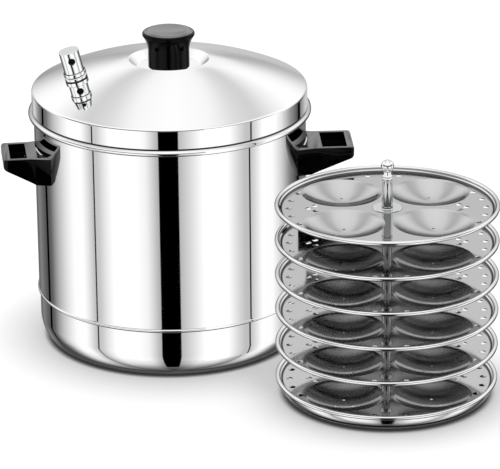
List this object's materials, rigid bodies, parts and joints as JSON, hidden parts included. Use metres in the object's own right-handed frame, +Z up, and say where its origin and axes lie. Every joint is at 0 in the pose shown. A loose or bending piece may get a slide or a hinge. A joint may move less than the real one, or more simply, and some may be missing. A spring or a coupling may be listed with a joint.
{
  "type": "idli steamer",
  "caption": "Deep steel steaming pot with lug handles, domed lid with whistle, and a spindle rack of round mould plates standing beside it.",
  "frame": {"origin": "centre of the underside of the pot, on the surface that pot and rack stand on", "axes": "+Z up along the pot's axis, +X towards the right handle and the rack, -Y towards the front"},
  "size_m": [0.4389, 0.3741, 0.2962],
  "materials": {
    "pot_steel": "mirror polished",
    "lid_steel": "mirror polished",
    "plate_steel": "polished",
    "turned_steel": "turned and polished",
    "plain_steel": "bright zinc",
    "bakelite": "gloss moulded",
    "brass_bush": "turned",
    "seal_rubber": "matt"
  },
  "bodies": {
    "pot": {"pot_shell": "pot_steel", "handle_left": "bakelite", "handle_right": "bakelite", "handle_brackets": "plain_steel", "handle_screws": "plain_steel"},
    "lid": {"lid_shell": "lid_steel", "lid_knob": "bakelite", "knob_insert": "brass_bush", "knob_washer": "plain_steel", "knob_screw": "plain_steel", "vent_stem": "turned_steel", "vent_gasket": "seal_rubber", "vent_nut": "plain_steel"},
    "whistle": {"whistle_cap": "turned_steel"},
    "rack": {"rack_foot": "plate_steel", "rack_spindle": "turned_steel", "spindle_nut": "plain_steel", "plate_1": "plate_steel", "hub_1": "turned_steel", "spacer_1": "turned_steel"},
    "tier_2": {"plate_2": "plate_steel", "hub_2": "turned_steel", "spacer_2": "turned_steel"},
    "tier_3": {"plate_3": "plate_steel", "hub_3": "turned_steel", "spacer_3": "turned_steel"},
    "tier_4": {"plate_4": "plate_steel", "hub_4": "turned_steel", "spacer_4": "turned_steel"},
    "tier_5": {"plate_5": "plate_steel", "hub_5": "turned_steel", "spacer_5": "turned_steel"},
    "tier_6": {"plate_6": "plate_steel", "hub_6": "turned_steel"},
    "sleeve": {"top_sleeve": "turned_steel"},
    "ball": {"ball_knob": "turned_steel"}
  },
  "joints": [
    {"name": "lid_lift", "type": "slide", "parent": "pot", "child": "lid", "axis": [0, 0, 1], "range_m": [0, 0.12]},
    {"name": "whistle_pull", "type": "slide", "parent": "lid", "child": "whistle", "axis": [-0.2312, -0.0915, 0.9686], "range_m": [0, 0.03]},
    {"name": "rack_lift", "type": "slide", "parent": "pot", "child": "rack", "axis": [0, 0, 1], "range_m": [0, 0.24]},
    {"name": "tier_2_lift", "type": "slide", "parent": "rack", "child": "tier_2", "axis": [0, 0, 1], "range_m": [0, 0.177]},
    {"name": "tier_3_lift", "type": "slide", "parent": "tier_2", "child": "tier_3", "axis": [0, 0, 1], "range_m": [0, 0.145]},
    {"name": "tier_4_lift", "type": "slide", "parent": "tier_3", "child": "tier_4", "axis": [0, 0, 1], "range_m": [0, 0.113]},
    {"name": "tier_5_lift", "type": "slide", "parent": "tier_4", "child": "tier_5", "axis": [0, 0, 1], "range_m": [0, 0.081]},
    {"name": "tier_6_lift", "type": "slide", "parent": "tier_5", "child": "tier_6", "axis": [0, 0, 1], "range_m": [0, 0.05]},
    {"name": "sleeve_lift", "type": "slide", "parent": "tier_6", "child": "sleeve", "axis": [0, 0, 1], "range_m": [0, 0.038]},
    {"name": "ball_turn", "type": "hinge", "parent": "sleeve", "child": "ball", "pos_m": [0.1897, -0.1493, 0.208], "axis": [0, 0, 1], "continuous": true}
  ]
}
